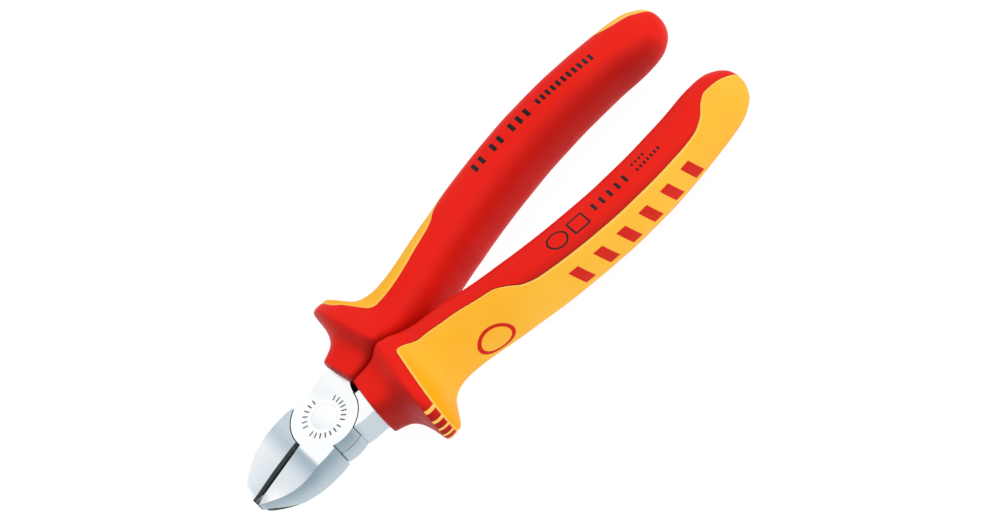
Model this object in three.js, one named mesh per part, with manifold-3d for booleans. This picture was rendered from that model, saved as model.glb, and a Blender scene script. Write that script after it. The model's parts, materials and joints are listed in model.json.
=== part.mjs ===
// Insulated diagonal cutting pliers: two forged lap-joint halves, one rivet,
// and on each handle a hard shell with a soft overlay let into it.
// Millimetres, +Z up. Inside the tool the pivot axis is the origin, the jaws
// point along -X and the handles along +X. The second half is the first one
// turned by 180 degrees about X, the way lap-joint halves are forged.
import * as THREE from 'three';
import Module from 'manifold-3d';

const wasm = await Module();
wasm.setup();

// ---- driving dimensions ----
const GAP = 0.3;                 // clearance between pieces that touch
const DISC_R = 9.25;             // lap-joint disc
const DISC_SIDES = 56;
const HEAD_HALF = 4.65;          // half thickness of the steel head
const PLATE_GAP = 0.15;          // half the seam between the two lap plates
const RIVET_R = 3.44;
const RIVET_BORE_R = 3.5;
const RIVET_SIDES = 48;
const REST_Z = 12.3;             // pivot height when lying on the guards
const CENTRE_X = 52.95;          // pivot to the middle of the overall length
const OVERLAY_DEPTH = 1.6;       // recess in the shell for the soft overlay
const OVERLAY_START = 23.2;      // station where the overlay begins
const RECESS_END = 131.2;        // beyond it the overlay is solid to the end
const TANG_CLEAR = 0.3;

// Jaw block, one row per station along the jaw:
// x, outline half width, top edge height, top height at the cutting line, underside depth
const JAW = [
  [-3.9, 9.2, 4.65, 4.65, 4.65],
  [-7.0, 9.5, 4.65, 4.65, 4.65],
  [-9.9, 9.5, 4.6, 4.6, 4.6],
  [-12.0, 9.4, 4.0, 4.0, 4.5],
  [-14.0, 9.2, 3.5, 3.5, 4.35],
  [-16.5, 8.7, 2.95, 2.85, 4.1],
  [-19.0, 7.9, 2.6, 2.2, 3.8],
  [-21.5, 6.7, 2.4, 1.5, 3.45],
  [-24.0, 5.2, 2.45, 0.8, 2.9],
  [-26.0, 3.7, 2.2, 0.3, 2.2],
  [-27.3, 2.0, 1.5, -0.05, 1.5],
];
const EDGE_BEVEL = 1.0;          // width and depth of the bevel beside the cutting edge
const UNDER_BEVEL = 2.6;         // width of the relief under the cutting edge

// Neck and tang of one half: x, inner y, outer y, half thickness
const TANG = [
  [0.5, 1.8, 9.0, 4.65],
  [3.4, 1.8, 9.1, 4.65],
  [4.4, 1.8, 9.6, 4.65],
  [9.0, 1.8, 10.0, 4.65],
  [13.0, 2.2, 10.3, 4.6],
  [18.0, 3.3, 10.9, 4.2],
  [30.0, 5.4, 11.8, 3.6],
  [45.0, 8.8, 14.8, 3.4],
  [60.0, 12.0, 17.8, 3.2],
  [80.0, 15.0, 20.4, 3.0],
  [104.0, 15.9, 20.6, 2.7],
];

// Grip sections: station, centre y, outward half width, inward half width, half thickness,
// outward and inward superellipse exponents, rake, overlay half angle above and below
const GRIP = [
  [10.2, 6.3, 5.3, 5.4, 7.3, 2.6, 6, 0.15, 80, 100],
  [10.6, 6.3, 6.1, 5.9, 7.9, 2.8, 7, 0.15, 80, 100],
  [13.0, 6.6, 7.0, 6.3, 8.0, 2.7, 8, 0.17, 78, 100],
  [15.5, 7.1, 8.2, 6.8, 8.3, 2.5, 8, 0.19, 72, 102],
  [17.2, 7.6, 9.7, 7.3, 9.2, 2.5, 8, 0.2, 68, 104],
  [18.5, 8.1, 12.0, 7.8, 10.9, 2.5, 8, 0.2, 64, 104],
  [19.8, 8.5, 15.6, 8.2, 12.1, 2.5, 8, 0.2, 62, 104],
  [20.8, 8.7, 17.2, 8.4, 12.3, 2.5, 8, 0.2, 60, 104],
  [22.4, 8.8, 17.8, 8.4, 11.9, 2.5, 7, 0.2, 60, 104],
  [24.4, 8.8, 17.9, 8.3, 11.2, 2.5, 5.5, 0.2, 60, 106],
  [25.4, 8.7, 16.8, 8.2, 10.8, 2.5, 4.6, 0.2, 68, 105],
  [26.4, 8.6, 13.8, 8.2, 10.4, 2.5, 4.2, 0.19, 76, 103],
  [27.6, 8.5, 10.6, 8.0, 10.1, 2.5, 3.6, 0.17, 84, 97],
  [29.5, 8.6, 8.7, 8.1, 9.9, 2.5, 3, 0.14, 88, 92],
  [32.5, 8.8, 7.8, 8.2, 9.9, 2.4, 2.5, 0.1, 88, 90],
  [36.5, 9.4, 7.5, 8.2, 9.9, 2.4, 2.4, 0.05, 87, 87],
  [41.0, 10.4, 7.4, 8.1, 10.0, 2.4, 2.5, 0, 86, 86],
  [46.0, 11.7, 7.3, 8.0, 10.0, 2.4, 2.4, 0, 83, 83],
  [50.5, 12.8, 7.3, 7.9, 10.0, 2.4, 2.4, 0, 81, 81],
  [53.8, 13.5, 7.3, 7.9, 9.9, 2.4, 2.4, 0, 75, 70],
  [57.0, 14.2, 7.3, 8.0, 9.9, 2.4, 2.4, 0, 58, 55],
  [61.0, 15.1, 7.3, 8.0, 9.9, 2.4, 2.4, 0, 49, 49],
  [69.0, 16.5, 7.3, 8.0, 9.8, 2.4, 2.4, 0, 47, 47],
  [78.0, 17.7, 7.3, 8.0, 9.7, 2.4, 2.4, 0, 45, 46],
  [88.0, 18.6, 7.3, 8.0, 9.5, 2.4, 2.4, 0, 43, 46],
  [98.0, 18.8, 7.3, 7.9, 9.3, 2.4, 2.4, 0, 42, 46],
  [107.0, 18.4, 7.3, 7.8, 9.0, 2.4, 2.4, 0, 42, 46],
  [113.0, 17.9, 7.3, 7.7, 8.7, 2.4, 2.4, 0, 44, 48],
  [117.5, 17.4, 7.4, 7.8, 8.5, 2.35, 2.4, 0, 50, 60],
  [120.5, 17.1, 7.4, 7.9, 8.3, 2.3, 2.35, 0, 64, 79],
  [123.5, 16.8, 7.3, 7.8, 7.9, 2.3, 2.3, 0, 69, 91],
  [127.0, 16.5, 6.8, 7.2, 7.2, 2.3, 2.3, 0, 71, 90],
  [130.0, 16.3, 5.6, 5.8, 5.8, 2.2, 2.2, 0, 75, 87],
  [131.2, 16.3, 4.7, 4.8, 5.0, 2.2, 2.2, 0, 76, 85],
  [132.4, 16.3, 3.0, 3.3, 3.7, 2.1, 2.1, 0, 76, 80],
  [133.2, 16.3, 1.5, 1.7, 1.9, 2, 2, 0, 70, 70],
];
const OVERLAY_ARC = 10;          // facets across the overlay
const SHELL_ARC = 10;            // facets across the rest of the shell
const ARC_STEP = THREE.MathUtils.degToRad(1.5);

// ---- mesh helpers ----
// Closed body through rings of equal point count. Rings run along +X with
// their points anticlockwise seen from +X.
function loft(rings) {
  const count = rings[0].length;
  const positions = rings.flat().flatMap((p) => [p.x, p.y, p.z]);
  const index = [];
  for (let i = 0; i + 1 < rings.length; i += 1) {
    for (let j = 0; j < count; j += 1) {
      const a = i * count + j;
      const b = i * count + ((j + 1) % count);
      index.push(a, b, b + count);
      index.push(a, b + count, a + count);
    }
  }
  for (const [ring, flip] of [[0, true], [rings.length - 1, false]]) {
    const outline = rings[ring].map((p) => new THREE.Vector2(p.y, p.z));
    for (const [a, b, c] of THREE.ShapeUtils.triangulateShape(outline, [])) {
      const base = ring * count;
      index.push(base + a, base + (flip ? c : b), base + (flip ? b : c));
    }
  }
  return solid(positions, index);
}

function solid(positions, index) {
  const mesh = new wasm.Mesh({
    numProp: 3,
    vertProperties: new Float32Array(positions),
    triVerts: new Uint32Array(index),
  });
  return new wasm.Manifold(mesh);
}

// Upright cylinder between two heights.
function disc(radius, low, high, sides) {
  const rim = new THREE.Shape();
  for (let i = 0; i < sides; i += 1) {
    const t = (2 * Math.PI * i) / sides;
    const x = radius * Math.cos(t);
    const y = radius * Math.sin(t);
    if (i === 0) rim.moveTo(x, y);
    else rim.lineTo(x, y);
  }
  const geometry = new THREE.ExtrudeGeometry(rim, { depth: high - low, bevelEnabled: false });
  geometry.translate(0, 0, low);
  return fromGeometry(geometry);
}

function fromGeometry(geometry) {
  const source = geometry.getAttribute('position');
  const seen = new Map();
  const positions = [];
  const index = [];
  for (let i = 0; i < source.count; i += 1) {
    const p = [source.getX(i), source.getY(i), source.getZ(i)];
    const key = p.map((v) => v.toFixed(5)).join();
    if (!seen.has(key)) {
      seen.set(key, seen.size);
      positions.push(...p);
    }
    index.push(seen.get(key));
  }
  return solid(positions, index);
}

function toMesh(name, body, colour, roughness, metalness) {
  const data = body.getMesh();
  const geometry = new THREE.BufferGeometry();
  geometry.setAttribute('position', new THREE.BufferAttribute(data.vertProperties, 3));
  geometry.setIndex(new THREE.BufferAttribute(data.triVerts, 1));
  geometry.computeVertexNormals();
  const material = new THREE.MeshStandardMaterial({ color: colour, roughness, metalness });
  const mesh = new THREE.Mesh(geometry, material);
  mesh.name = name;
  return mesh;
}

// ---- steel half ----
// Jaw block on the -Y side of the cutting line.
function jawBlock() {
  const rings = JAW.map(([x, wide, edge, inner, under]) => {
    const bevel = Math.min(EDGE_BEVEL, wide * 0.3);
    const relief = Math.min(UNDER_BEVEL, wide * 0.45);
    const cut = inner - bevel;
    const outline = [
      [-GAP / 2, cut],
      [-bevel, inner],
      [-wide + 0.25, edge],
      [-wide, edge - 0.25],
      [-wide, -under + 0.5],
      [-wide + 0.5, -under],
      [-relief, -under],
      [-GAP / 2 - 0.15, cut - 0.6],
    ];
    return outline.map(([y, z]) => new THREE.Vector3(x, y, z));
  });
  return loft(rings.reverse());
}

function tangBar(extra) {
  const rings = TANG.map(([x, low, high, half], i) => {
    const last = i === TANG.length - 1;
    const at = x + (last ? extra : 0);
    const h = half + extra;
    const corners = [[low - extra, -h], [high + extra, -h], [high + extra, h], [low - extra, h]];
    return corners.map(([y, z]) => new THREE.Vector3(at, y, z));
  });
  return loft(rings);
}

function steelHalf() {
  const plate = disc(DISC_R, PLATE_GAP, HEAD_HALF, DISC_SIDES);
  const otherPlate = disc(DISC_R + GAP, -2 * HEAD_HALF, PLATE_GAP, DISC_SIDES);
  const bore = disc(RIVET_BORE_R, -2 * HEAD_HALF, 2 * HEAD_HALF, RIVET_SIDES);
  const blocks = jawBlock().add(tangBar(0)).subtract(otherPlate);
  return blocks.add(plate).subtract(bore);
}

// ---- grip ----
function sectionPoint(row, angle, inset) {
  const [station, centre, outward, inward, half, outPower, inPower, rake] = row;
  const c = Math.cos(angle);
  const s = Math.sin(angle);
  const side = c > 0 ? outward : inward;
  const power = c > 0 ? outPower : inPower;
  const reach = (Math.abs(c) ** power + Math.abs(s) ** power) ** (-1 / power);
  const y = (side - inset) * c * reach;
  return new THREE.Vector3(station - rake * y, centre + y, (half - inset) * s * reach);
}

function arc(row, from, to, steps, inset) {
  const points = [];
  for (let i = 0; i <= steps; i += 1) {
    points.push(sectionPoint(row, from + ((to - from) * i) / steps, inset));
  }
  return points;
}

// The same arc pressed flat against an upright wall beside the section centre.
function wallArc(row, from, to, steps, offset) {
  return arc(row, from, to, steps, 0).map((p) => p.setY(row[1] + offset));
}

function rowAt(station) {
  const i = GRIP.findIndex((row) => row[0] >= station);
  const [a, b] = [GRIP[i - 1], GRIP[i]];
  const t = (station - a[0]) / (b[0] - a[0]);
  return a.map((v, k) => THREE.MathUtils.lerp(v, b[k], t));
}

function edges(row, trim) {
  const [above, below] = [row[8], row[9]].map(THREE.MathUtils.degToRad);
  return [-below + trim, above - trim];
}

const between = (low, high) => GRIP.filter((row) => row[0] > low && row[0] < high);

// Hard shell: recessed under the overlay, bored for the tang, open at the collar.
function gripShell() {
  const ring = (row, under) => {
    const [low, high] = edges(row, 0);
    const floor = under(row, low, high);
    return [...floor, ...arc(row, high + ARC_STEP, 2 * Math.PI + low - ARC_STEP, SHELL_ARC, 0)];
  };
  const full = (row, low, high) => arc(row, low, high, OVERLAY_ARC, 0);
  const recessed = (row, low, high) => arc(row, low, high, OVERLAY_ARC, OVERLAY_DEPTH);
  const flat = (row, low, high) => wallArc(row, low, high, OVERLAY_ARC, 0);
  const rings = [
    ...between(0, OVERLAY_START - 0.2).map((row) => ring(row, full)),
    ring(rowAt(OVERLAY_START - 0.1), full),
    ring(rowAt(OVERLAY_START), recessed),
    ...between(OVERLAY_START, RECESS_END).map((row) => ring(row, recessed)),
    ring(rowAt(RECESS_END), recessed),
    ring(rowAt(RECESS_END + GAP), flat),
    ...between(RECESS_END + GAP, Infinity).map((row) => ring(row, flat)),
  ];
  return loft(rings).subtract(tangBar(TANG_CLEAR));
}

// Soft overlay: a skin over the outside of the handle, solid at the rounded end.
function gripOverlay() {
  const ring = (row, inner) => {
    const [low, high] = edges(row, 2 * ARC_STEP);
    return [...arc(row, low, high, OVERLAY_ARC, 0), ...inner(row, high, low)];
  };
  const skin = (row, from, to) => arc(row, from, to, OVERLAY_ARC, OVERLAY_DEPTH - GAP);
  const flat = (row, from, to) => wallArc(row, from, to, OVERLAY_ARC, GAP);
  const [start, end] = [OVERLAY_START + GAP, RECESS_END + GAP];
  return loft([
    ring(rowAt(start), skin),
    ...between(start, end).map((row) => ring(row, skin)),
    ring(rowAt(end), skin),
    ring(rowAt(end + GAP), flat),
    ...between(end + GAP, Infinity).map((row) => ring(row, flat)),
  ]);
}

// ---- assembly ----
const STEEL = [0xc9ced3, 0.25, 1.0];
const RED = [0xdd2119, 0.38, 0.0];
const ORANGE = [0xfab322, 0.55, 0.0];

const pliers = new THREE.Group();
pliers.name = 'diagonal_cutters';
pliers.position.set(-CENTRE_X, 0, REST_Z);

const bodies = [
  ['jaw_half', steelHalf(), STEEL],
  ['grip_shell', gripShell(), RED],
  ['grip_overlay', gripOverlay(), ORANGE],
];
for (const [name, body, look] of bodies) {
  pliers.add(toMesh(`${name}_a`, body, ...look));
  pliers.add(toMesh(`${name}_b`, body.rotate([180, 0, 0]), ...look));
}
const rivet = disc(RIVET_R, 0.05 - HEAD_HALF, HEAD_HALF - 0.05, RIVET_SIDES);
pliers.add(toMesh('pivot_rivet', rivet, ...STEEL));

const model = new THREE.Group();
model.add(pliers);
model.updateMatrixWorld(true);

export default model;
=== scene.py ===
"""Insulated diagonal cutting pliers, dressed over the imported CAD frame.

Lengths are in millimetres about the pivot unless a comment says otherwise: the jaws point along
-X, the handles along +X, half a's handle is on +Y, and half b is half a turned by 180 degrees
about X.
"""
import json
import math

import bmesh
import bpy
import numpy as np
from mathutils import Matrix, Vector


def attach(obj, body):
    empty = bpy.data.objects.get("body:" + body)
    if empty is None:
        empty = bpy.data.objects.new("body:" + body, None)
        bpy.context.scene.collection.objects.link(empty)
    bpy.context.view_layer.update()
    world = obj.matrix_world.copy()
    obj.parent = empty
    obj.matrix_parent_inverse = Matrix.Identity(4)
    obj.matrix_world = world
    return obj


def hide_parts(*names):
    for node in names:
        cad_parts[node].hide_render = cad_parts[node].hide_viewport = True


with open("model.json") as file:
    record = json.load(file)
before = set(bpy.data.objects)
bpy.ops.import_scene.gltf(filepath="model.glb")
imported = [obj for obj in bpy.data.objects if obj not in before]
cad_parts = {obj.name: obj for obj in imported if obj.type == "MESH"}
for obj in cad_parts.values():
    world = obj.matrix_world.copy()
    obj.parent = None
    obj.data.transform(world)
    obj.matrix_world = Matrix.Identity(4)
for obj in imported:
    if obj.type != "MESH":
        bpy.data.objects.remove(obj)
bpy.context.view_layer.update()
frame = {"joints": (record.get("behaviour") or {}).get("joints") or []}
PIVOT = np.array(frame["joints"][0]["pos_m"])
HALVES = {"a": 1.0, "b": -1.0}      # sign of y and z on each half

# ---------------------------------------------------------------- dimensions
DISC_R = 9.25               # lap plate
HEAD_HALF = 4.65
SEAM = 0.1                  # half the gap between the lap plates
POCKET_GAP = 0.3            # round the other half's plate
BORE_R = 3.5
RIVET_R = 3.49
CUT_REACH = 8.0             # how far the cutting tools pass above and below the head
EDGE_BREAK = 0.13           # bevel on the corners of the steel
PLATE_SIDES = 160
BORE_SIDES = 96
RIVET_SIDES = 120

OVERLAY_DEPTH = 1.6
OVERLAY_START = 23.2
OVERLAY_CORNER = 1.2        # radius of the overlay's two front corners
OVERLAY_ROLL = 0.3          # how deep the overlay's long edges roll under
OVERLAY_GAP = 0.25          # under the overlay, in its recess
RECESS_END = 131.2
OVERLAY_POINTS = 44         # across the outside of an overlay section
FLOOR_POINTS = 30           # across the shell under the overlay
SKIN_POINTS = 56            # round the open skin of the shell

# column numbers of a GRIP row
STATION, CENTRE, OUTWARD, INWARD, THICK = range(5)
ABOVE, BELOW = 8, 9

# station, centre y, outward and inward half width, half thickness, outward and inward
# superellipse exponents, rake, overlay half angle above and below
GRIP = np.array([
    [10.2, 6.3, 5.3, 5.4, 7.3, 2.6, 6, 0.15, 80, 100],
    [10.6, 6.3, 6.1, 5.9, 7.9, 2.8, 7, 0.15, 80, 100],
    [13.0, 6.6, 7.0, 6.3, 8.0, 2.7, 8, 0.17, 78, 100],
    [15.5, 7.1, 8.2, 6.8, 8.3, 2.5, 8, 0.19, 72, 102],
    [17.2, 7.6, 9.7, 7.3, 9.2, 2.5, 8, 0.2, 68, 104],
    [18.5, 8.1, 11.9, 7.8, 10.7, 2.5, 8, 0.2, 64, 104],
    [19.7, 8.5, 15.3, 8.2, 11.95, 2.5, 8, 0.2, 62, 104],
    [20.4, 8.65, 17.25, 8.35, 12.3, 2.5, 8, 0.2, 60, 104],
    [22.4, 8.8, 17.75, 8.4, 11.9, 2.5, 7, 0.2, 59, 105],
    [24.6, 8.8, 17.75, 8.3, 11.15, 2.5, 5.4, 0.2, 64, 104.4],
    [25.4, 8.7, 16.8, 8.2, 10.8, 2.5, 4.85, 0.2, 69, 103.5],
    [26.4, 8.6, 13.8, 8.1, 10.4, 2.5, 4.3, 0.19, 76, 101.5],
    [27.6, 8.5, 10.6, 8.0, 10.1, 2.5, 3.75, 0.17, 84, 97],
    [29.5, 8.6, 8.7, 8.1, 9.9, 2.5, 3.05, 0.14, 88, 92],
    [32.5, 8.8, 7.8, 8.2, 9.9, 2.4, 2.5, 0.1, 88, 90],
    [36.5, 9.4, 7.5, 8.2, 9.9, 2.4, 2.4, 0.05, 87, 87],
    [41.0, 10.4, 7.4, 8.1, 10.0, 2.4, 2.5, 0, 86, 86],
    [46.0, 11.7, 7.3, 8.0, 10.0, 2.4, 2.4, 0, 83, 83],
    [50.5, 12.8, 7.3, 7.9, 10.0, 2.4, 2.4, 0, 81, 81],
    [53.8, 13.5, 7.3, 7.9, 9.9, 2.4, 2.4, 0, 75, 70],
    [57.0, 14.2, 7.3, 8.0, 9.9, 2.4, 2.4, 0, 58, 55],
    [61.0, 15.1, 7.3, 8.0, 9.9, 2.4, 2.4, 0, 49, 49],
    [69.0, 16.5, 7.3, 8.0, 9.8, 2.4, 2.4, 0, 47, 47],
    [78.0, 17.7, 7.3, 8.0, 9.7, 2.4, 2.4, 0, 45, 46],
    [88.0, 18.6, 7.3, 8.0, 9.5, 2.4, 2.4, 0, 43, 46],
    [98.0, 18.8, 7.3, 7.9, 9.3, 2.4, 2.4, 0, 42, 46],
    [107.0, 18.4, 7.3, 7.8, 9.0, 2.4, 2.4, 0, 42, 46],
    [113.0, 17.9, 7.3, 7.7, 8.7, 2.4, 2.4, 0, 44, 48],
    [117.5, 17.4, 7.4, 7.8, 8.5, 2.35, 2.4, 0, 50, 60],
    [120.5, 17.1, 7.4, 7.9, 8.3, 2.3, 2.35, 0, 64, 79],
    [123.5, 16.8, 7.3, 7.8, 7.9, 2.3, 2.3, 0, 69, 91],
    [127.0, 16.5, 6.8, 7.2, 7.2, 2.3, 2.3, 0, 71, 90],
    [130.0, 16.3, 5.6, 5.8, 5.8, 2.2, 2.2, 0, 75, 87],
    [131.2, 16.3, 4.7, 4.8, 5.0, 2.2, 2.2, 0, 76, 85],
    [132.4, 16.3, 3.0, 3.3, 3.7, 2.1, 2.1, 0, 78, 82],
    [132.9, 16.3, 2.0, 2.2, 2.5, 2, 2, 0, 76, 80],
    [133.14, 16.3, 0.95, 1.0, 1.15, 2, 2, 0, 74, 78],
    [133.2, 16.3, 0.3, 0.3, 0.35, 2, 2, 0, 72, 75],
])

# socket that the neck enters at the collar, as a GRIP row, and the x at which it ends
SOCKET = np.array([10.2, 5.95, 4.35, 4.35, 4.9, 8, 8, 0.15, 80, 100])
SOCKET_END = 16.0

# x, outline half width, top edge height, top height at the cutting line, underside depth at
# the outer edge and at the cutting line
JAW = np.array([
    [-27.3, 2.0, 1.5, 0.3, 1.5, 0.4],
    [-26.0, 3.7, 2.2, 0.6, 2.2, 0.7],
    [-24.0, 5.2, 2.45, 1.1, 2.9, 1.3],
    [-21.5, 6.7, 2.4, 1.7, 3.45, 2.0],
    [-19.0, 7.9, 2.6, 2.3, 3.8, 2.7],
    [-16.5, 8.7, 2.95, 2.9, 4.1, 3.3],
    [-14.0, 9.2, 3.5, 3.5, 4.35, 3.8],
    [-12.0, 9.4, 4.0, 4.0, 4.5, 4.2],
    [-10.4, 9.5, 4.5, 4.45, 4.6, 4.5],
    [-9.3, 9.5, 4.65, 4.65, 4.65, 4.6],
    [-7.0, 9.5, 4.65, 4.65, 4.65, 4.65],
    [-3.9, 9.2, 4.65, 4.65, 4.65, 4.65],
])
TIP_X = JAW[0, 0]
JAW_ROOT_X = JAW[-1, 0]
CUT_END_X = -9.3            # where the cutting edge meets the lap plate
GRIND = 0.9                 # width of the ground bevel along each cutting edge
CUT_GAP = 0.08              # half the gap between the closed cutting edges
RELIEF_X = -19.0            # where the chamfer under half a's jaw begins to widen to the tip
SLOT_X = 8.9                # start of the slot by the collars, painted dark as shade
SLOT_HALF = 2.3             # half its width

# neck and tang: x, inner y, outer y, half thickness
NECK = np.array([
    [0.5, 1.8, 8.6, 4.65],
    [2.9, 1.8, 8.8, 4.65],
    [3.1, 1.8, 9.1, 4.65],
    [9.0, 1.8, 10.0, 4.65],
    [13.0, 2.2, 10.3, 4.6],
    [18.0, 3.3, 10.9, 4.2],
    [30.0, 5.4, 11.8, 3.6],
])

# fillet of the lap plate into the neck, seen in the slot by the collars
WEB = [
    (7.5, -1.3), (9.3, -1.3), (9.45, -0.7), (9.7, 0.1),
    (10.05, 0.9), (10.5, 1.6), (11.0, 2.2), (7.5, 2.2),
]


# ---------------------------------------------------------------- mesh helpers
def pchip(table, at):
    """Smooth columns of a table between its rows, with no overshoot."""
    x = table[:, 0]
    y = table[:, 1:]
    at = np.atleast_1d(np.asarray(at, float))
    width = np.diff(x)[:, None]
    slope = np.diff(y, axis=0) / width
    left = slope[:-1]
    right = slope[1:]
    same_way = left * right > 0
    weight_left = 2 * width[1:] + width[:-1]
    weight_right = width[1:] + 2 * width[:-1]
    safe_left = np.where(same_way, left, 1)
    safe_right = np.where(same_way, right, 1)
    mean = (weight_left + weight_right) / (weight_left / safe_left + weight_right / safe_right)
    tangent = np.vstack([slope[:1], np.where(same_way, mean, 0), slope[-1:]])
    i = np.clip(np.searchsorted(x, at, side="right") - 1, 0, len(x) - 2)
    t = ((at - x[i]) / width[i, 0])[:, None]
    span = width[i]
    start = (2 * t**3 - 3 * t**2 + 1) * y[i] + (t**3 - 2 * t**2 + t) * span * tangent[i]
    return start + (-2 * t**3 + 3 * t**2) * y[i + 1] + (t**3 - t**2) * span * tangent[i + 1]


def place(points, half):
    """Pivot millimetres, on half a, to metres in the row frame on either half."""
    flip = HALVES[half]
    return np.asarray(points, float) * 0.001 * np.array([1.0, flip, flip]) + PIVOT


def tidy_mesh(mesh, smooth):
    """Merges doubles, turns the normals out and keeps corners sharper than smooth degrees crisp."""
    bm = bmesh.new()
    bm.from_mesh(mesh)
    bmesh.ops.remove_doubles(bm, verts=bm.verts, dist=1e-8)
    bmesh.ops.recalc_face_normals(bm, faces=bm.faces)
    for face in bm.faces:
        face.smooth = True
    for edge in bm.edges:
        edge.smooth = len(edge.link_faces) == 2 and edge.calc_face_angle() < math.radians(smooth)
    bm.to_mesh(mesh)
    bm.free()
    mesh.update()


def new_object(name, verts, faces, smooth=38.0, second=()):
    """New mesh object; the faces whose numbers are in second take the second material."""
    mesh = bpy.data.meshes.new(name)
    mesh.from_pydata([tuple(v) for v in verts], [], [tuple(f) for f in faces])
    for index in second:
        mesh.polygons[index].material_index = 1
    mesh.update()
    obj = bpy.data.objects.new(name, mesh)
    bpy.context.scene.collection.objects.link(obj)
    tidy_mesh(mesh, smooth)
    return obj


def loft(name, rings, half="a", second_columns=(), second_rows=()):
    """Closed body through rings of equal point count, each end closed round its centre."""
    rings = [np.asarray(ring, float) for ring in rings]
    count = len(rings[0])
    spans = range(len(rings) - 1)
    verts = [p for ring in rings for p in ring]
    faces = []
    for i in spans:
        for j in range(count):
            near = i * count + j
            far = i * count + (j + 1) % count
            faces.append((near, far, far + count, near + count))
    for base, ring in ((0, rings[0]), (len(spans) * count, rings[-1])):
        centre = len(verts)
        verts.append(ring.mean(axis=0))
        faces.extend((base + j, base + (j + 1) % count, centre) for j in range(count))
    second = [i * count + j for i in spans for j in range(count)
              if i in second_rows or j in second_columns]
    return new_object(name, place(verts, half), faces, second=second)


def prism(name, rim, low, high, half):
    """Upright body between two heights over a closed (x, y) outline."""
    sides = len(rim)
    verts = [(*p, low) for p in rim] + [(*p, high) for p in rim]
    faces = [(i, (i + 1) % sides, sides + (i + 1) % sides, sides + i) for i in range(sides)]
    faces += [tuple(range(sides))[::-1], tuple(range(sides, 2 * sides))]
    return new_object(name, place(verts, half), faces)


def cylinder(name, radius, low, high, sides, half):
    """Upright cylinder about the pivot axis."""
    turn = np.linspace(0, 2 * math.pi, sides, endpoint=False)
    rim = np.stack([radius * np.cos(turn), radius * np.sin(turn)], axis=1)
    return prism(name, rim, low, high, half)


def apply_modifiers(obj):
    """Replaces the mesh with the result of its modifiers."""
    bpy.context.view_layer.update()
    graph = bpy.context.evaluated_depsgraph_get()
    mesh = bpy.data.meshes.new_from_object(obj.evaluated_get(graph))
    obj.modifiers.clear()
    obj.data = mesh


def boolean(target, tool, operation):
    """Joins or cuts the target with a tool, then removes the tool."""
    modifier = target.modifiers.new("cut", "BOOLEAN")
    modifier.operation = operation
    modifier.solver = "EXACT"
    modifier.object = tool
    apply_modifiers(target)
    bpy.data.objects.remove(tool)


# ---------------------------------------------------------------- grips
def section(row, angle, inset=0.0):
    """Points of one grip section; row is a pchip row with its station in front."""
    station, centre, outward, inward, thick, out_power, in_power, rake = row[:8]
    cosine = np.cos(angle)
    sine = np.sin(angle)
    side = np.where(cosine > 0, outward, inward)
    power = np.where(cosine > 0, out_power, in_power)
    reach = (np.abs(cosine) ** power + np.abs(sine) ** power) ** (-1 / power)
    y = np.maximum(side - inset, 0.05) * cosine * reach
    z = np.maximum(thick - inset, 0.05) * sine * reach
    return np.stack([station - rake * y, centre + y, z], axis=1)


def grip_rows(stations):
    """GRIP rows smoothed at any stations."""
    stations = np.atleast_1d(np.asarray(stations, float))
    return np.hstack([stations[:, None], pchip(GRIP, stations)])


def overlay_edges(row):
    """Overlay limits in radians, below and above, with its front corners rounded off."""
    run = max(0.0, OVERLAY_CORNER - (row[STATION] - OVERLAY_START - 0.15))
    rest = OVERLAY_CORNER**2 - min(run, OVERLAY_CORNER) ** 2
    cut = (OVERLAY_CORNER - math.sqrt(max(0.0, rest))) / row[THICK]
    return cut - math.radians(row[BELOW]), math.radians(row[ABOVE]) - cut


def fine_stations(start):
    """Stations along a grip, closer together where its outline turns."""
    steps = [
        np.arange(start, 30, 0.35),
        np.arange(30, 50, 0.8),
        np.arange(50, 64, 0.6),
        np.arange(64, 116, 1.3),
        np.arange(116, 130, 0.6),
        np.arange(130, 133, 0.25),
        [133.0, 133.1, 133.15, 133.18, 133.2],
    ]
    stations = np.concatenate(steps)
    return stations[stations >= start]


def rim_arc(row, low, high, count, drop, width):
    """Angles and insets of a surface arc whose two ends roll under by drop over width."""
    steps = np.array([0.0, 0.12, 0.35, 0.65, 1.0])
    lead = steps * width / row[THICK]
    fall = drop * (1 - np.sqrt(1 - (1 - steps) ** 2))
    inner = np.linspace(low + lead[-1], high - lead[-1], count)
    angles = np.concatenate([low + lead[:-1], inner, (high - lead[:-1])[::-1]])
    insets = np.concatenate([fall[:-1], np.zeros(count), fall[:-1][::-1]])
    return angles, insets


def shell_section(row, floor_inset=0.0, drop=0.0, inset=0.0, walled=False):
    """Shell section: the floor under the overlay, then the open skin with its rolled edges.

    A walled section ends the recess with a flat wall through the middle of the grip.
    """
    low, high = overlay_edges(row)
    floor_angles = np.linspace(low, high, FLOOR_POINTS)
    if walled:
        floor_points = section(row, floor_angles, inset)
        floor_points[:, 1] = row[CENTRE]
    else:
        floor_points = section(row, floor_angles, floor_inset + inset)
    step = 0.06 / row[THICK]
    around = 2 * math.pi + low - step
    angles, insets = rim_arc(row, high + step, around, SKIN_POINTS, drop, 0.4)
    return np.vstack([floor_points, section(row, angles, insets + inset)])


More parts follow.
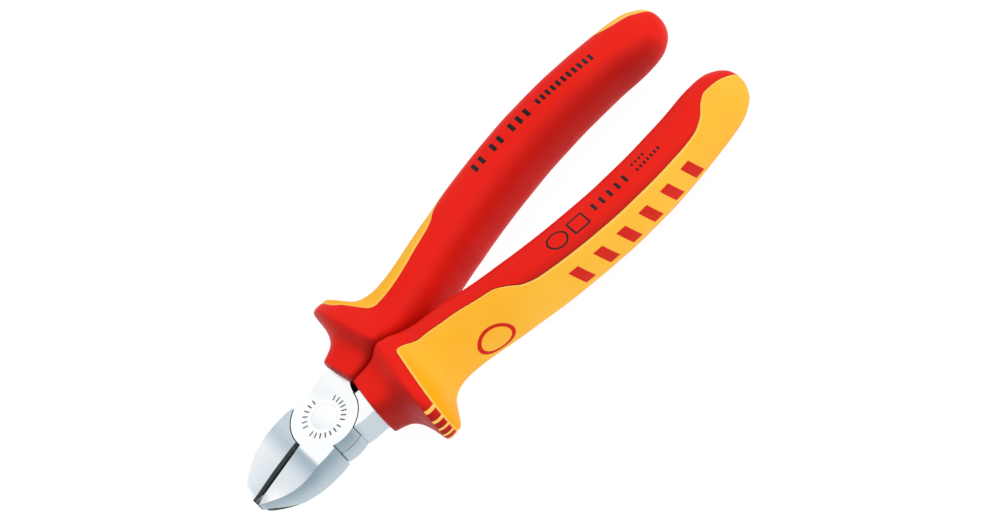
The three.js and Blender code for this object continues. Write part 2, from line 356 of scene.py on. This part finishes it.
def shell_mesh(half):
    """Hard shell: socket, rounded collar mouth, guard, recess for the overlay and closed end."""
    deep = SOCKET.copy()
    deep[STATION] = SOCKET_END
    rings = [shell_section(deep), shell_section(SOCKET)]
    for inset, back in ((0.9, 0.0), (0.45, 0.03), (0.15, 0.13)):
        row = grip_rows(GRIP[0, 0])[0]
        row[STATION] += back
        rings.append(shell_section(row, inset=inset))
    stations = fine_stations(10.5)
    for row in grip_rows(stations[stations < OVERLAY_START - 0.3]):
        rings.append(shell_section(row))
    step_down = ((-0.25, 0, 0), (-0.1, 0.03, 0), (-0.02, 0.12, 0), (0.02, OVERLAY_DEPTH, 0.1))
    for offset, floor_inset, drop in step_down:
        rings.append(shell_section(grip_rows(OVERLAY_START + offset)[0], floor_inset, drop))
    for row in grip_rows(stations[stations > OVERLAY_START + 0.2]):
        if row[STATION] <= RECESS_END:
            rings.append(shell_section(row, OVERLAY_DEPTH, 0.15))
        else:
            rings.append(shell_section(row, drop=min(0.15, row[THICK] * 0.1), walled=True))
    return loft(f"grip_shell_{half}.fine", rings, half)


def overlay_section(row, inner_inset, drop, inset=0.0, walled=False):
    """Overlay section: the outside with its rolled edges, then the inside in the recess."""
    low, high = overlay_edges(row)
    step = 0.03 / row[THICK]
    angles, insets = rim_arc(row, low + step, high - step, OVERLAY_POINTS, drop, 0.6)
    outer = section(row, angles, insets + inset)
    inner = section(row, angles[::-1], inner_inset)
    if walled:
        inner[:, 1] = row[CENTRE] + 0.12
    return np.vstack([outer, inner])


def overlay_mesh(half):
    """Soft overlay in its recess; its rolled front and long edges take the painted highlight."""
    depth = OVERLAY_DEPTH - OVERLAY_GAP
    rings = []
    for offset, inset in ((0.05, 0.34), (0.1, 0.2), (0.2, 0.1), (0.4, 0.04), (0.65, 0.01)):
        row = grip_rows(OVERLAY_START + offset)[0]
        rings.append(overlay_section(row, depth, OVERLAY_ROLL, inset))
    for row in grip_rows(fine_stations(OVERLAY_START + 1.0)):
        if row[STATION] <= RECESS_END + 0.3:
            rings.append(overlay_section(row, depth, OVERLAY_ROLL))
        else:
            rings.append(overlay_section(row, 0.0, min(0.35, row[THICK] * 0.15), walled=True))
    last = OVERLAY_POINTS + 7
    # faces on the rolled edges that take the painted highlight
    highlight_columns = [1, 2, 3, last - 4, last - 3, last - 2]
    return loft(f"grip_overlay_{half}.fine", rings, half, highlight_columns, [1, 2, 3])


# ---------------------------------------------------------------- steel halves
def fillet(points, radii, steps=3):
    """Rounds the corners of a closed outline given as (y, z) pairs; a radius of 0 leaves one sharp."""
    rounded = []
    for i, (point, radius) in enumerate(zip(points, radii)):
        corner = np.array(point, float)
        if radius <= 0:
            rounded += [corner] * (steps + 1)
            continue
        before = np.array(points[i - 1], float) - corner
        after = np.array(points[(i + 1) % len(points)], float) - corner
        cut_before = min(radius, 0.45 * np.linalg.norm(before)) / np.linalg.norm(before)
        cut_after = min(radius, 0.45 * np.linalg.norm(after)) / np.linalg.norm(after)
        for t in np.linspace(0, 1, steps + 1):
            rounded.append(corner + before * cut_before * (1 - t) ** 2 + after * cut_after * t**2)
    return rounded


def jaw_rings(half):
    """Jaw sections from tip to root: hollow top, ground bevels at the cut, relieved tip on half a."""
    stations = np.concatenate([
        np.linspace(TIP_X, -24, 14),
        np.linspace(-23.6, -12.4, 26),
        np.linspace(-12, -8.6, 16),
        np.linspace(-8, JAW_ROOT_X, 8),
    ])
    rings = []
    for x, row in zip(stations, pchip(JAW, stations)):
        wide, edge, inner, under, under_inner = row
        grind = min(GRIND, wide * 0.4)
        middle = (inner - under_inner) / 2
        high = max(inner - grind, middle + 0.1)
        low = min(grind - under_inner, middle - 0.1)
        relief = float(np.clip((RELIEF_X - x) * 0.13, 0.03, 0.75)) if half == "a" else 0.03
        profile = [
            (-CUT_GAP, high), (-grind, inner), (-wide, edge), (-wide, 2.2 * relief - under),
            (0.2 * relief - wide, -under), (-grind, -under_inner), (-CUT_GAP, low),
        ]
        rings.append([(x, y, z) for y, z in fillet(profile, [0, 0.1, 0.3, 0.05, 0.3, 0.1, 0])])
    return rings


def neck_rings():
    """Rounded rectangles from the lap plate into the collar."""
    rings = []
    for x in np.concatenate([[0.5, 2.9, 3.1], np.linspace(4, SOCKET_END, 10)]):
        low, high, thick = pchip(NECK, x)[0]
        profile = [(low, -thick), (high, -thick), (high, thick), (low, thick)]
        rings.append([(x, y, z) for y, z in fillet(profile, [0.2, 0.35, 0.35, 0.2])])
    return rings


def merge_flats(mesh):
    """Merges slivers and near-flat faces left by the cuts."""
    bm = bmesh.new()
    bm.from_mesh(mesh)
    bmesh.ops.remove_doubles(bm, verts=bm.verts, dist=2e-6)
    bmesh.ops.dissolve_limit(bm, angle_limit=math.radians(0.6), verts=bm.verts, edges=bm.edges)
    bm.to_mesh(mesh)
    bm.free()


def mark_edges(mesh, angle):
    """Marks the corners to be broken by the bevel; the rim of the rivet bore stays crisp."""
    bm = bmesh.new()
    bm.from_mesh(mesh)
    weight = bm.edges.layers.float.new("bevel_weight_edge")
    for edge in bm.edges:
        reach = [math.hypot(v.co.x - PIVOT[0], v.co.y - PIVOT[1]) * 1000 for v in edge.verts]
        on_bore = max(reach) < BORE_R + 0.05
        corner = len(edge.link_faces) == 2 and edge.calc_face_angle() > math.radians(angle)
        edge[weight] = 1.0 if corner and not on_bore else 0.0
    bm.to_mesh(mesh)
    bm.free()


def break_edges(obj):
    """Small bevel on the marked corners."""
    modifier = obj.modifiers.new("edges", "BEVEL")
    modifier.width = EDGE_BREAK / 1000
    modifier.segments = 2
    modifier.limit_method = "WEIGHT"
    modifier.harden_normals = True
    apply_modifiers(obj)


def in_painted_shade(face, half):
    """True where dark shade is painted: the ground cutting bevels, the relieved tip, the tip's end and
    the slot by the collars.
    """
    flip = np.array([1.0, HALVES[half], HALVES[half]])
    x, y, _ = (np.array(face.center) - PIVOT) * 1000 * flip
    nx, ny, nz = np.array(face.normal) * flip
    cutting_bevel = x < CUT_END_X and abs(y) < GRIND - 0.05
    tip_relief = half == "a" and x < RELIEF_X - 0.8 and -0.5 < nz < -0.04 and ny < -0.6
    tip_end = x < TIP_X + 0.2 and nx < -0.5
    slot = x > SLOT_X and abs(y) < SLOT_HALF and abs(nz) < 0.5
    return cutting_bevel or tip_relief or tip_end or slot


def steel_mesh(half):
    """One forging: jaw, neck and lap plate, with the pocket for the other plate and the bore."""
    steel = loft(f"jaw_half_{half}.fine", jaw_rings(half), half)
    neck = loft("neck", neck_rings(), half)
    boolean(steel, neck, "UNION")
    pocket = cylinder("pocket", DISC_R + POCKET_GAP, -CUT_REACH, SEAM, PLATE_SIDES, half)
    boolean(steel, pocket, "DIFFERENCE")
    plate = cylinder("plate", DISC_R, SEAM, HEAD_HALF, PLATE_SIDES, half)
    boolean(steel, plate, "UNION")
    web = prism("web", WEB, SEAM, HEAD_HALF, half)
    boolean(steel, web, "UNION")
    bore = cylinder("bore", BORE_R, -CUT_REACH, CUT_REACH, BORE_SIDES, half)
    boolean(steel, bore, "DIFFERENCE")
    merge_flats(steel.data)
    tidy_mesh(steel.data, 30.0)
    mark_edges(steel.data, 35.0)
    break_edges(steel)
    for face in steel.data.polygons:
        # faces in painted shade take the second, dark material
        face.material_index = int(in_painted_shade(face, half))
    return steel


def rivet_mesh():
    """Turned rivet: a straight shank whose two flush heads have a fine broken edge."""
    head = [
        (RIVET_R - 0.05, HEAD_HALF - 0.004),
        (RIVET_R - 0.015, HEAD_HALF - 0.012),
        (RIVET_R, HEAD_HALF - 0.04),
    ]
    levels = [(radius, -z) for radius, z in head] + [(radius, z) for radius, z in reversed(head)]
    turn = np.linspace(0, 2 * math.pi, RIVET_SIDES, endpoint=False)
    rings = [[(radius * math.cos(t), radius * math.sin(t), z) for t in turn] for radius, z in levels]
    return loft("pivot_rivet.fine", rings)


# ---------------------------------------------------------------- surface marks
def grip_skin(angle_deg, half):
    """Surface for marks on a grip: u is the station, v runs round from an angle above outward."""
    base = math.radians(angle_deg)

    def surface(u, v, lift):
        rows = grip_rows(u).T
        width = 0.5 * (rows[OUTWARD] + rows[INWARD])
        radius = rows[THICK] * abs(math.cos(base)) + width * abs(math.sin(base))
        return place(section(rows, HALVES[half] * (base + v / radius), -lift), half)

    return surface


def inlay(name, patches, surface, closed=False, sink=0.25, lift=0.03):
    """Thin bodies let into a surface: each patch is a grid of (u, v) rows, a ring if closed."""
    verts = []
    faces = []
    for patch in patches:
        grid = np.asarray(patch, float)
        rows, cols = grid.shape[:2]
        size = rows * cols
        base = len(verts)
        u = grid[..., 0].ravel()
        v = grid[..., 1].ravel()
        verts += list(surface(u, v, lift)) + list(surface(u, v, -sink))
        for i in range(rows if closed else rows - 1):
            here = base + i * cols
            there = base + (i + 1) % rows * cols
            for j in range(cols - 1):
                a = here + j
                b = there + j
                faces.append((a, b, b + 1, a + 1))
                faces.append((a + size, a + 1 + size, b + 1 + size, b + size))
            for j in (0, cols - 1):
                faces.append((here + j, here + j + size, there + j + size, there + j))
        ends = () if closed else (0, rows - 1)
        for i in ends:
            for j in range(cols - 1):
                a = base + i * cols + j
                faces.append((a, a + 1, a + 1 + size, a + size))
    return new_object(name, verts, faces, 50.0)


def bar(u, v, length, height, lean=0.0, step=0.5):
    """Grid of a plain bar centred at (u, v), leaning by lean mm over its height."""
    rows = np.linspace(-0.5, 0.5, max(2, int(length / step) + 2))
    cols = np.linspace(-0.5, 0.5, max(2, int(height / step) + 2))
    return [[(u + r * length + c * lean, v + c * height) for c in cols] for r in rows]


def outline(points, width):
    """Grid of a closed line of the given width through corner points."""
    path = []
    for start, end in zip(points, points[1:] + points[:1]):
        start = np.array(start, float)
        end = np.array(end, float)
        count = max(1, int(np.linalg.norm(end - start) / 0.5))
        path += [start + (end - start) * i / count for i in range(count)]
    path = np.array(path)
    along = np.roll(path, -1, axis=0) - np.roll(path, 1, axis=0)
    along /= np.linalg.norm(along, axis=1)[:, None]
    side = np.stack([-along[:, 1], along[:, 0]], axis=1)
    return [[p - n * width / 2, p, p + n * width / 2] for p, n in zip(path, side)]


def polygon(u, v, radius, sides, turn=0.0):
    """Corners of a regular polygon."""
    angles = [turn + 2 * math.pi * i / sides for i in range(sides)]
    return [(u + radius * math.cos(t), v + radius * math.sin(t)) for t in angles]


def plate_ticks():
    """Radial index ticks stamped in three groups round the upper lap plate."""
    ticks = []
    for first, last, count in ((-62, 20, 7), (82, 160, 6), (190, 278, 7)):
        for angle in np.radians(np.linspace(first, last, count)):
            ticks.append([[(angle + side / radius, radius) for radius in np.linspace(4.7, 6.2, 4)]
                          for side in (-0.19, 0.0, 0.19)])

    def surface(u, v, lift):
        level = np.full(len(u), HEAD_HALF + lift)
        return place(np.stack([v * np.cos(u), v * np.sin(u), level], axis=1), "a")

    return inlay("plate_ticks_a", ticks, surface, lift=0.008, sink=0.1)


def print_a():
    """Groups of blocks, then a row of finer ones, rising slowly along the top of handle a."""
    first = 71
    skin = grip_skin(87, "a")

    def surface(u, v, lift):
        return skin(u, v + 0.045 * (u - first), lift)

    marks = [bar(u, 0, 1.15, 2.9) for u in (71.6, 74.3, 78.6, 81.3, 85.6, 88.3, 91.0)]
    marks += [bar(u, 0, 0.85, 2.1) for u in np.arange(95.0, 113.0, 1.75)]
    return inlay("print_dashes_a", marks, surface)


def print_b():
    """Rows of dashes along the top of handle b."""
    marks = [bar(u, -0.2, 0.85, 2.5) for u in (83.0, 85.6, 88.2, 90.8, 93.4)]
    marks += [bar(u, 1.4, 0.55, 0.9) for u in np.arange(97.2, 102.0, 1.25)]
    marks += [bar(u, -0.9, 0.55, 1.1) for u in np.arange(97.2, 105.5, 1.25)]
    return inlay("print_dashes_b", marks, grip_skin(88, "b"))


def print_outlines_b():
    """A plain circle and a plain square on the top of handle b."""
    circle = outline(polygon(70.8, 0, 2.7, 28), 0.5)
    square = outline(polygon(77.4, 0, 3.2, 4, math.pi / 4), 0.5)
    return inlay("print_outlines_b", [circle, square], grip_skin(82, "b"), closed=True)


def overlay_bars():
    """Row of plain slanted bars along the outside of handle b."""
    stations = (69.5, 77.3, 84.8, 92.2, 99.8, 107.4)
    bars = [bar(station, 0, 3.0, 7.4, lean=-2.2) for station in stations]
    return inlay("stripe_bars_b", bars, grip_skin(1.5, "b"))


def overlay_ring():
    """Plain ring on the outside of handle b, behind the guard."""
    ring = outline(polygon(43.4, 0, 4.6, 40), 1.05)
    return inlay("stripe_ring_b", [ring], grip_skin(0, "b"), closed=True)


def guard_ribs():
    """Short raised ribs across the rim of guard b."""
    guard_radius = 11
    ribs = []
    for angle in (37, 21, 5, -11, -26):
        middle = math.radians(angle) * guard_radius
        ribs.append([[(station, middle + side) for side in (-0.42, -0.2, 0.2, 0.42)]
                     for station in np.linspace(20.35, 23.5, 9)])
    return inlay("guard_ribs_b", ribs, grip_skin(0, "b"), lift=0.07)


# ---------------------------------------------------------------- material nodes
def material(name, colour, roughness, metallic=0.0):
    """New Principled material, with its node tree and its shader node."""
    mat = bpy.data.materials.new(name)
    mat.use_nodes = True
    shader = mat.node_tree.nodes["Principled BSDF"]
    shader.inputs["Base Color"].default_value = (*colour, 1)
    shader.inputs["Roughness"].default_value = roughness
    shader.inputs["Metallic"].default_value = metallic
    return mat, mat.node_tree, shader


def noise(tree, scale, detail=4.0, stretch=(1, 1, 1)):
    """Noise fixed to the body, stretched along its axes."""
    coords = tree.nodes.new("ShaderNodeTexCoord")
    mapping = tree.nodes.new("ShaderNodeMapping")
    mapping.inputs["Scale"].default_value = stretch
    node = tree.nodes.new("ShaderNodeTexNoise")
    node.inputs["Scale"].default_value = scale
    node.inputs["Detail"].default_value = detail
    tree.links.new(coords.outputs["Object"], mapping.inputs["Vector"])
    tree.links.new(mapping.outputs["Vector"], node.inputs["Vector"])
    return node.outputs["Fac"]


def spread(tree, value, low, high):
    """The middle range of a noise, stretched from low to high."""
    node = tree.nodes.new("ShaderNodeMapRange")
    node.inputs["From Min"].default_value = 0.3
    node.inputs["From Max"].default_value = 0.7
    node.inputs["To Min"].default_value = low
    node.inputs["To Max"].default_value = high
    tree.links.new(value, node.inputs["Value"])
    return node.outputs["Result"]


def soft_step(tree, value, low, high):
    """Smooth 0 to 1 as a value passes from low to high."""
    node = tree.nodes.new("ShaderNodeMapRange")
    node.interpolation_type = "SMOOTHSTEP"
    node.inputs["From Min"].default_value = low
    node.inputs["From Max"].default_value = high
    tree.links.new(value, node.inputs["Value"])
    return node.outputs["Result"]


def blend(tree, factor, first, second, mode="MIX"):
    """Mix of two colours, each a tuple or a socket."""
    mix = tree.nodes.new("ShaderNodeMix")
    mix.data_type = "RGBA"
    mix.blend_type = mode
    for socket, value in ((mix.inputs["A"], first), (mix.inputs["B"], second)):
        if isinstance(value, tuple):
            socket.default_value = (*value, 1)
        else:
            tree.links.new(value, socket)
    if isinstance(factor, float):
        mix.inputs["Factor"].default_value = factor
    else:
        tree.links.new(factor, mix.inputs["Factor"])
    return mix.outputs["Result"]


def bump(tree, shader, value, strength, distance):
    """Surface texture, with its depth in metres."""
    node = tree.nodes.new("ShaderNodeBump")
    node.inputs["Strength"].default_value = strength
    node.inputs["Distance"].default_value = distance
    tree.links.new(value, node.inputs["Height"])
    tree.links.new(node.outputs["Normal"], shader.inputs["Normal"])


def facing(tree, direction):
    """How far the surface turns towards a direction of its own body, -1 to 1."""
    coords = tree.nodes.new("ShaderNodeTexCoord")
    dot = tree.nodes.new("ShaderNodeVectorMath")
    dot.operation = "DOT_PRODUCT"
    dot.inputs[1].default_value = direction
    tree.links.new(coords.outputs["Normal"], dot.inputs[0])
    return dot.outputs["Value"]


def level_face(tree):
    """1 on the flat upper and under faces, 0 on upright ones."""
    size = tree.nodes.new("ShaderNodeMath")
    size.operation = "ABSOLUTE"
    tree.links.new(facing(tree, (0, 0, 1)), size.inputs[0])
    return soft_step(tree, size.outputs["Value"], 0.5, 0.985)


def along(tree, axis, low, high):
    """0 to 1 between two places along X or Z, in millimetres from the pivot."""
    origin = float(PIVOT["XYZ".index(axis)])
    coords = tree.nodes.new("ShaderNodeTexCoord")
    split = tree.nodes.new("ShaderNodeSeparateXYZ")
    tree.links.new(coords.outputs["Object"], split.inputs["Vector"])
    return soft_step(tree, split.outputs[axis], origin + 0.001 * low, origin + 0.001 * high)


# ---------------------------------------------------------------- materials
def chrome_flats(tree, painted_reflection_start):
    """Polished flats; the jaws take a painted darker reflection from painted_reflection_start mm that
    fades to the tip.
    """
    polished = blend(tree, spread(tree, noise(tree, 140), 0, 1), (0.93, 0.94, 0.95), (0.97, 0.975, 0.98))
    # painted darker reflection on the jaw facets, strongest by the lap plate
    jaws = blend(tree, along(tree, "X", -16.5, -10.6), polished, (0.56, 0.64, 0.70))
    return blend(tree, along(tree, "X", -painted_reflection_start - 1, -painted_reflection_start), jaws, polished)


def flank_painted_reflection(tree):
    """Painted darker reflections on the upright flanks, darker towards their upper edge and lighter
    along the neck.
    """
    flanks = blend(tree, along(tree, "Z", -4.2, 4.2), (0.50, 0.58, 0.63), (0.23, 0.32, 0.38))
    flanks = blend(tree, along(tree, "X", 1, 5), flanks, (0.58, 0.65, 0.70))
    return blend(tree, spread(tree, noise(tree, 140), 0, 0.25), flanks, (0.52, 0.6, 0.65))


def chrome_material(name, painted_reflection_start):
    """Chrome with a fine brushed grain; its colour is light on the flat faces and paints darker
    reflections on the upright flanks and on the jaw facets.
    """
    mat, tree, shader = material(name, (0.9, 0.91, 0.92), 0.26, 1.0)
    # light flats and painted flank reflections, blended by how level the face is
    colour = blend(tree, level_face(tree), flank_painted_reflection(tree), chrome_flats(tree, painted_reflection_start))
    tree.links.new(colour, shader.inputs["Base Color"])
    polish = noise(tree, 900, 5, (1, 4, 1))
    tree.links.new(spread(tree, polish, 0.2, 0.32), shader.inputs["Roughness"])
    bump(tree, shader, noise(tree, 1500, 3, (1, 5, 1)), 0.05, 0.00003)
    return mat


def painted_shade_steel_material():
    """Dark steel, painted shade on the cutting bevels, the relieved tip, the tip's end and the slot by
    the collars, with grinding lines across the edge.
    """
    mat, tree, shader = material("dark_steel_painted_shade", (0.05, 0.055, 0.055), 0.45, 0.6)
    lines = noise(tree, 700, 4, (6, 1, 1))
    colour = blend(tree, spread(tree, lines, 0, 1), (0.022, 0.027, 0.028), (0.075, 0.085, 0.082))
    tree.links.new(colour, shader.inputs["Base Color"])
    shader.inputs["Specular IOR Level"].default_value = 0.2
    bump(tree, shader, lines, 0.2, 0.00003)
    return mat


def plastic(name, dark, light, rough, grain, depth):
    """Moulded plastic: slow colour variation, uneven gloss and a skin texture depth metres deep."""
    mat, tree, shader = material(name, light, sum(rough) / 2)
    shader.inputs["Specular IOR Level"].default_value = 0.09
    colour = blend(tree, spread(tree, noise(tree, 30), 0, 1), dark, light)
    tree.links.new(colour, shader.inputs["Base Color"])
    tree.links.new(spread(tree, noise(tree, 260), *rough), shader.inputs["Roughness"])
    bump(tree, shader, noise(tree, grain, 2), 0.12, depth)
    return mat, tree, shader, colour


def red_material():
    """Red shell, with shade painted where it faces forward and to -Y."""
    mat, tree, shader, colour = plastic(
        "red_shell", dark=(0.76, 0.0095, 0.004), light=(0.81, 0.013, 0.005),
        rough=(0.42, 0.54), grain=2600, depth=0.00005)
    # painted shade, fixed to the body: the red turns dark on faces turned forward and to -Y
    shaded = soft_step(tree, facing(tree, (-0.67, -0.74, 0.0)), 0.25, 0.92)
    colour = blend(tree, shaded, colour, (0.41, 0.009, 0.006))
    tree.links.new(colour, shader.inputs["Base Color"])
    return mat


def orange_material():
    """Orange overlay, deeper beside the guard."""
    mat, tree, shader, colour = plastic(
        "orange_overlay", dark=(0.95, 0.43, 0.02), light=(0.985, 0.53, 0.05),
        rough=(0.5, 0.62), grain=3200, depth=0.00008)
    colour = blend(tree, along(tree, "X", 21.5, 27.5), (0.95, 0.395, 0.003), colour)
    tree.links.new(colour, shader.inputs["Base Color"])
    return mat


def rim_highlight_material():
    """Paler orange, a painted highlight on the overlay's rolled edges; the guard ribs take it too."""
    return plastic(
        "overlay_painted_highlight", dark=(0.97, 0.56, 0.10), light=(0.98, 0.61, 0.14),
        rough=(0.45, 0.6), grain=3200, depth=0.00008)[0]


def red_print_material():
    """Red of the bars and the ring on the overlay."""
    return plastic(
        "red_print", dark=(0.60, 0.012, 0.006), light=(0.68, 0.018, 0.008),
        rough=(0.5, 0.62), grain=2600, depth=0.00003)[0]


def ink_material():
    """Black ink of the dashes and outlines on the shells."""
    return plastic(
        "black_print", dark=(0.008, 0.007, 0.007), light=(0.03, 0.026, 0.026),
        rough=(0.45, 0.6), grain=2600, depth=0.00003)[0]


def stamp_material():
    """Dull grey of the ticks stamped in the lap plate."""
    return plastic(
        "stamped_mark", dark=(0.05, 0.055, 0.06), light=(0.2, 0.21, 0.22),
        rough=(0.5, 0.65), grain=2600, depth=0.00003)[0]


# ---------------------------------------------------------------- pieces
def dress(obj, body, mats, slot, *nodes):
    """Gives a piece its materials and its body, and hides the CAD nodes it stands for; slot is not used.
    """
    numbers = [face.material_index for face in obj.data.polygons]
    obj.data.materials.clear()
    for mat in mats:
        obj.data.materials.append(mat)
    for face, number in zip(obj.data.polygons, numbers):
        face.material_index = number
    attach(obj, body)
    if nodes:
        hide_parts(*nodes)


# the painted darker reflection on the jaws starts at the rim of the lap plate on half a, and under that
# plate on half b
CHROME = {"a": chrome_material("chrome_painted_reflection_a", 9.4), "b": chrome_material("chrome_painted_reflection_b", 3.5)}
PAINTED_SHADE_STEEL = painted_shade_steel_material()
RED = red_material()
ORANGE = orange_material()
RIM_HIGHLIGHT = rim_highlight_material()
PRINT_RED = red_print_material()
INK = ink_material()
STAMP = stamp_material()

for half in HALVES:
    dress(steel_mesh(half), f"half_{half}", [CHROME[half], PAINTED_SHADE_STEEL], "steel", f"jaw_half_{half}")
    dress(shell_mesh(half), f"half_{half}", [RED], "shell", f"grip_shell_{half}")
    dress(overlay_mesh(half), f"half_{half}", [ORANGE, RIM_HIGHLIGHT], "overlay", f"grip_overlay_{half}")
dress(rivet_mesh(), "half_a", [CHROME["a"]], "steel", "pivot_rivet")
dress(plate_ticks(), "half_a", [STAMP], "steel")
dress(print_a(), "half_a", [INK], "shell")
dress(print_b(), "half_b", [INK], "shell")
dress(print_outlines_b(), "half_b", [INK], "shell")
dress(overlay_bars(), "half_b", [PRINT_RED], "overlay")
dress(overlay_ring(), "half_b", [PRINT_RED], "overlay")
dress(guard_ribs(), "half_b", [RIM_HIGHLIGHT], "overlay")


# ---------------------------------------------------------------- floor, light, camera
def floor_material():
    """Matt near-white floor that glows softly, so its shadows stay pale."""
    mat, _, shader = material("pale_floor", (0.1, 0.1, 0.1), 1.0)
    shader.inputs["Specular IOR Level"].default_value = 0.0
    shader.inputs["Emission Color"].default_value = (1, 1, 1, 1)
    shader.inputs["Emission Strength"].default_value = 0.95
    return mat


def make_floor():
    """Plain level floor under the tool."""
    reach = 3       # metres each way
    corners = [(-reach, -reach, 0), (reach, -reach, 0), (reach, reach, 0), (-reach, reach, 0)]
    mesh = bpy.data.meshes.new("floor")
    mesh.from_pydata(corners, [], [(0, 1, 2, 3)])
    mesh.materials.append(floor_material())
    floor = bpy.data.objects.new("floor", mesh)
    bpy.context.scene.collection.objects.link(floor)


def make_world():
    """White studio dome, darker below the horizon and slightly cooler on the side of the jaws."""
    white = (1.0, 1.0, 1.0)
    world = bpy.data.worlds.new("studio")
    bpy.context.scene.world = world
    world.use_nodes = True
    tree = world.node_tree
    coords = tree.nodes.new("ShaderNodeTexCoord")
    split = tree.nodes.new("ShaderNodeSeparateXYZ")
    tree.links.new(coords.outputs["Generated"], split.inputs["Vector"])
    dome = blend(tree, soft_step(tree, split.outputs["Z"], -0.1, 0.45), (0.34, 0.37, 0.41), white)
    card = blend(tree, soft_step(tree, split.outputs["X"], -0.42, 0.06), (0.66, 0.72, 0.76), white)
    studio = blend(tree, 1.0, dome, card, "MULTIPLY")
    tree.links.new(studio, tree.nodes["Background"].inputs["Color"])
    tree.nodes["Background"].inputs["Strength"].default_value = 1.06


def soft_sun(name, toward, width_deg, strength):
    """Broad sun lamp that shines from a direction."""
    data = bpy.data.lights.new(name, "SUN")
    data.angle = math.radians(width_deg)
    data.energy = strength
    lamp = bpy.data.objects.new(name, data)
    lamp.rotation_euler = Vector(toward).to_track_quat("Z", "Y").to_euler()
    bpy.context.scene.collection.objects.link(lamp)


def make_camera():
    """Camera above and in front of the tool, rolled so that the tool lies across the frame."""
    azimuth = math.radians(-8.39)
    elevation = math.radians(51.41)
    roll = math.radians(-39.12)
    distance = 0.9156
    target = Vector(PIVOT) + Vector((0.0587, -0.00195, 0))
    level = math.cos(elevation)
    back = Vector((math.sin(azimuth) * level, -math.cos(azimuth) * level, math.sin(elevation)))
    right = Vector((math.cos(azimuth), math.sin(azimuth), 0))
    up = back.cross(right)
    camera_x = right * math.cos(roll) + up * math.sin(roll)
    camera_y = up * math.cos(roll) - right * math.sin(roll)
    data = bpy.data.cameras.new("camera")
    data.sensor_width = 36
    data.lens = 131.13
    data.clip_start = 0.01
    camera = bpy.data.objects.new("camera", data)
    turn = Matrix((camera_x, camera_y, back)).transposed().to_4x4()
    camera.matrix_world = Matrix.Translation(target + back * distance) @ turn
    bpy.context.scene.collection.objects.link(camera)
    bpy.context.scene.camera = camera


make_floor()
make_world()
soft_sun("key", (0.55, -0.35, 0.9), 50, 0.42)
soft_sun("fill", (0.2, -1.0, 0.3), 70, 0.25)
make_camera()
bpy.context.scene.view_settings.view_transform = "Standard"
